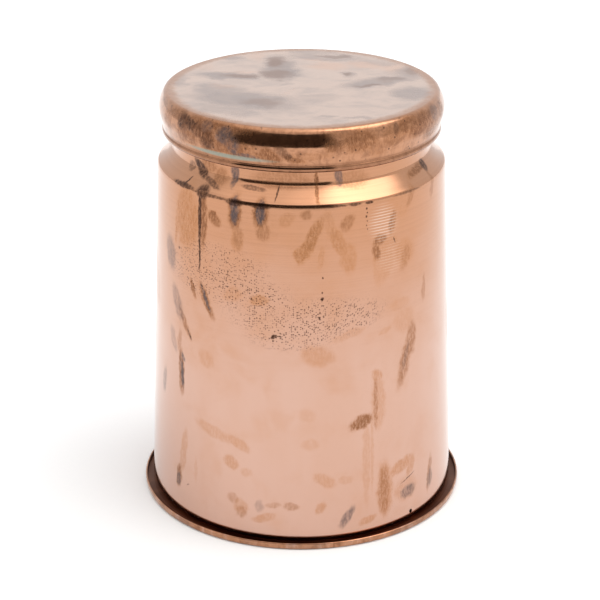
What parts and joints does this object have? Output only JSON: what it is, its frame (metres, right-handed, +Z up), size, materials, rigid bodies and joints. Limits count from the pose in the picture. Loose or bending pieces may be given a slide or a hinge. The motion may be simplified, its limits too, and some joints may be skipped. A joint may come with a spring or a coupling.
{
  "type": "bee smoker fire can",
  "caption": "Spun copper bee smoker fire can: flat press-on lid, tapered shell and lipped base tray around a perforated steel liner with a lift-out grate and wire bail.",
  "frame": {"origin": "middle of the base tray's flat underside", "axes": "+Z up along the can's axis; the draught hole is 45 degrees from -Y towards +X, and the bail's pivots lie along X"},
  "size_m": [0.117, 0.117, 0.1515],
  "materials": {
    "spun_copper": "spun and polished copper with handling stains and water marks",
    "brass_band": "rolled brass strip, dull",
    "tinned_steel": "tinned sheet, dull",
    "liner_steel": "heat-tinted sheet steel with a little soot",
    "grate_steel": "sooted sheet steel",
    "iron_wire": "drawn iron wire, dark scale",
    "rivet_iron": "dark iron rivets",
    "woven_packing": "woven mineral fibre packing, smoke-stained"
  },
  "bodies": {
    "tray": {"base_tray": "spun_copper", "locating_ring": "brass_band", "ash_pan": "tinned_steel"},
    "liner": {"liner_wall": "liner_steel", "liner_floor": "liner_steel", "liner_rim_wire": "iron_wire", "leg_rivets": "rivet_iron", "ear_rivets": "rivet_iron", "liner_leg_1": "liner_steel", "liner_leg_2": "liner_steel", "liner_leg_3": "liner_steel", "bail_ear_right": "liner_steel", "bail_ear_left": "liner_steel"},
    "bail": {"bail": "iron_wire"},
    "grate": {"grate": "grate_steel", "grate_leg_1": "grate_steel", "grate_leg_2": "grate_steel", "grate_leg_3": "grate_steel", "grate_loop": "iron_wire"},
    "shell": {"shell": "spun_copper", "neck_band": "brass_band"},
    "packing": {"lid_packing_ring": "woven_packing"},
    "lid": {"lid_cap": "spun_copper", "lid_hem_wire": "iron_wire", "lid_collar": "tinned_steel", "lid_heat_plate": "tinned_steel"}
  },
  "joints": [
    {"name": "liner_lift", "type": "slide", "parent": "tray", "child": "liner", "axis": [0, 0, 1], "range_m": [0, 0.04]},
    {"name": "bail_swing", "type": "hinge", "parent": "liner", "child": "bail", "pos_m": [0, 0, 0.1065], "axis": [1, 0, 0], "range_deg": [0, 180]},
    {"name": "grate_lift", "type": "slide", "parent": "liner", "child": "grate", "axis": [0, 0, 1], "range_m": [0, 0.11]},
    {"name": "shell_lift", "type": "slide", "parent": "grate", "child": "shell", "axis": [0, 0, 1], "range_m": [0, 0.125]},
    {"name": "lid_lift", "type": "slide", "parent": "shell", "child": "packing", "axis": [0, 0, 1], "range_m": [0, 0.06]},
    {"name": "lid_turn", "type": "hinge", "parent": "packing", "child": "lid", "pos_m": [0, 0, 0.1475], "axis": [0, 0, 1], "continuous": true}
  ]
}
